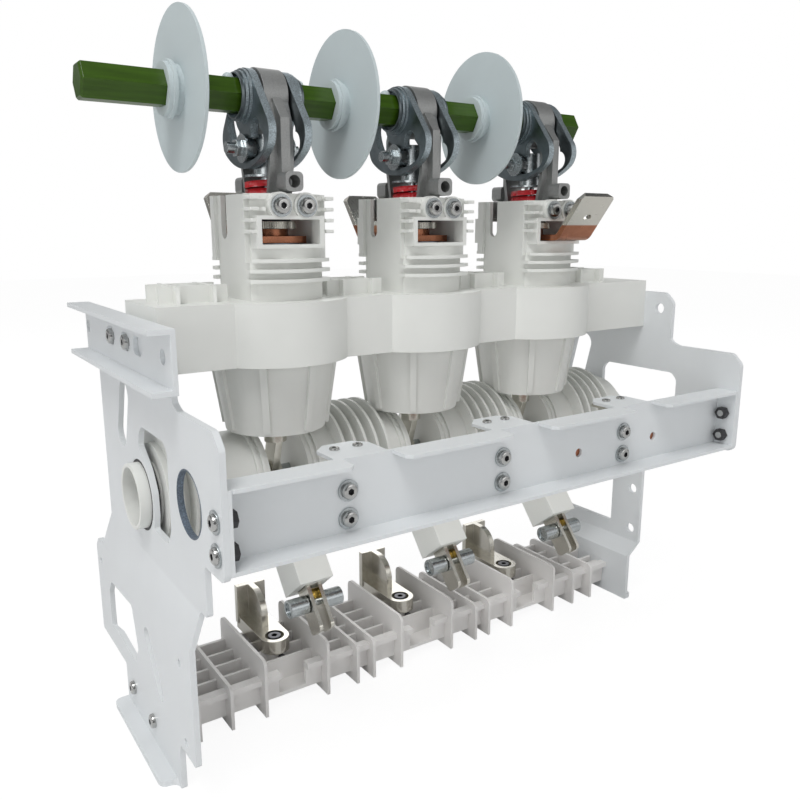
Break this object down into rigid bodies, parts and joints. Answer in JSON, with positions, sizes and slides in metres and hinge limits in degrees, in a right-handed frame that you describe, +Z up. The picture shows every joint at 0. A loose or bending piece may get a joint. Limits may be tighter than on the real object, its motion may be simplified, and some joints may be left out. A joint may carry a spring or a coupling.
{
  "type": "medium-voltage vacuum breaker and disconnector module",
  "caption": "Three-pole vacuum breaker module with cam-lever shaft, insulating housing, swinging disconnector and earthing knives, and sheet-metal side plates",
  "frame": {"origin": "middle of the foot plane, under the centre of the overall box", "axes": "+X along the main shaft to the right, -Y the front where the beam is, +Z up"},
  "size_m": [0.5224, 0.2824, 0.5273],
  "materials": {
    "shaft_green": "plain",
    "disc_grey": "plain",
    "cam_lever": "plain",
    "cast_alu": "plain",
    "zinc": "plain",
    "spring_red": "plain",
    "housing": "plain",
    "ceramic": "plain",
    "copper": "plain",
    "silvered": "plain",
    "plate_zinc": "plain",
    "insulator": "plain",
    "rotor": "plain",
    "black": "plain",
    "screw": "plain"
  },
  "bodies": {
    "frame": {"beam_end_nuts": "screw", "beam_end_screws": "screw", "beam_face_screws": "screw", "beam_face_washers": "screw", "beam_tab_screws": "screw", "bearing_bracket_1": "cast_alu", "bearing_bracket_2": "cast_alu", "bearing_bracket_3": "cast_alu", "bracket_pan_screws": "screw", "copper_collars": "copper", "earth_bar": "copper", "earth_contact_fingers": "silvered", "fixed_contact_1": "silvered", "fixed_contact_2": "silvered", "fixed_contact_3": "silvered", "fixed_contact_bolts": "screw", "front_beam": "plate_zinc", "insulating_housing": "housing", "knurled_collars": "zinc", "lower_insulator": "insulator", "lower_insulator_screws": "screw", "lower_terminals": "copper", "port_grommet": "black", "rotor_bushes": "black", "side_plate_left": "plate_zinc", "side_plate_right": "plate_zinc", "spring_seats": "black", "top_bracket_left": "plate_zinc", "tower_screws": "screw", "tower_washers": "screw", "upper_terminal_1": "copper", "upper_terminal_2": "copper", "upper_terminal_3": "copper", "vacuum_chambers": "ceramic"},
    "shaft": {"main_shaft": "shaft_green", "bearing_bushes": "black", "barrier_disc_1": "disc_grey", "barrier_disc_2": "disc_grey", "barrier_disc_3": "disc_grey", "cam_lever_1": "cam_lever", "cam_lever_2": "cam_lever", "cam_lever_3": "cam_lever"},
    "drive_rod_1": {"drive_pin_1": "zinc", "pin_washers_1": "zinc", "contact_rod_1": "zinc", "contact_spring_1": "spring_red"},
    "drive_rod_2": {"drive_pin_2": "zinc", "pin_washers_2": "zinc", "contact_rod_2": "zinc", "contact_spring_2": "spring_red"},
    "drive_rod_3": {"drive_pin_3": "zinc", "pin_washers_3": "zinc", "contact_rod_3": "zinc", "contact_spring_3": "spring_red"},
    "rotor": {"disconnector_rotor": "rotor", "clamp_barrels": "screw", "knife_pivot_bolts": "screw", "knife_blades_1": "copper", "knife_blades_2": "copper", "knife_blades_3": "copper"}
  },
  "joints": [
    {"name": "shaft_turn", "type": "hinge", "parent": "frame", "child": "shaft", "pos_m": [-0.00371, 0.00425, 0.474], "axis": [1, 0, 0], "range_deg": [-20, 30]},
    {"name": "rotor_turn", "type": "hinge", "parent": "frame", "child": "rotor", "pos_m": [-0.00371, 0.01925, 0.192], "axis": [1, 0, 0], "range_deg": [-64.5, 52.7]},
    {"name": "rod_slide_1", "type": "slide", "parent": "frame", "child": "drive_rod_1", "axis": [0, 0, 1], "range_m": [-0.0042, 0.0028], "deforming": ["contact_spring_1"]},
    {"name": "rod_slide_2", "type": "slide", "parent": "frame", "child": "drive_rod_2", "axis": [0, 0, 1], "range_m": [-0.0042, 0.0028], "deforming": ["contact_spring_2"]},
    {"name": "rod_slide_3", "type": "slide", "parent": "frame", "child": "drive_rod_3", "axis": [0, 0, 1], "range_m": [-0.0042, 0.0028], "deforming": ["contact_spring_3"]}
  ],
  "couplings": [
    {"joint": "rod_slide_1", "follows": "shaft_turn", "m_per_rad": -0.0080214},
    {"joint": "rod_slide_2", "follows": "shaft_turn", "m_per_rad": -0.0080214},
    {"joint": "rod_slide_3", "follows": "shaft_turn", "m_per_rad": -0.0080214}
  ]
}
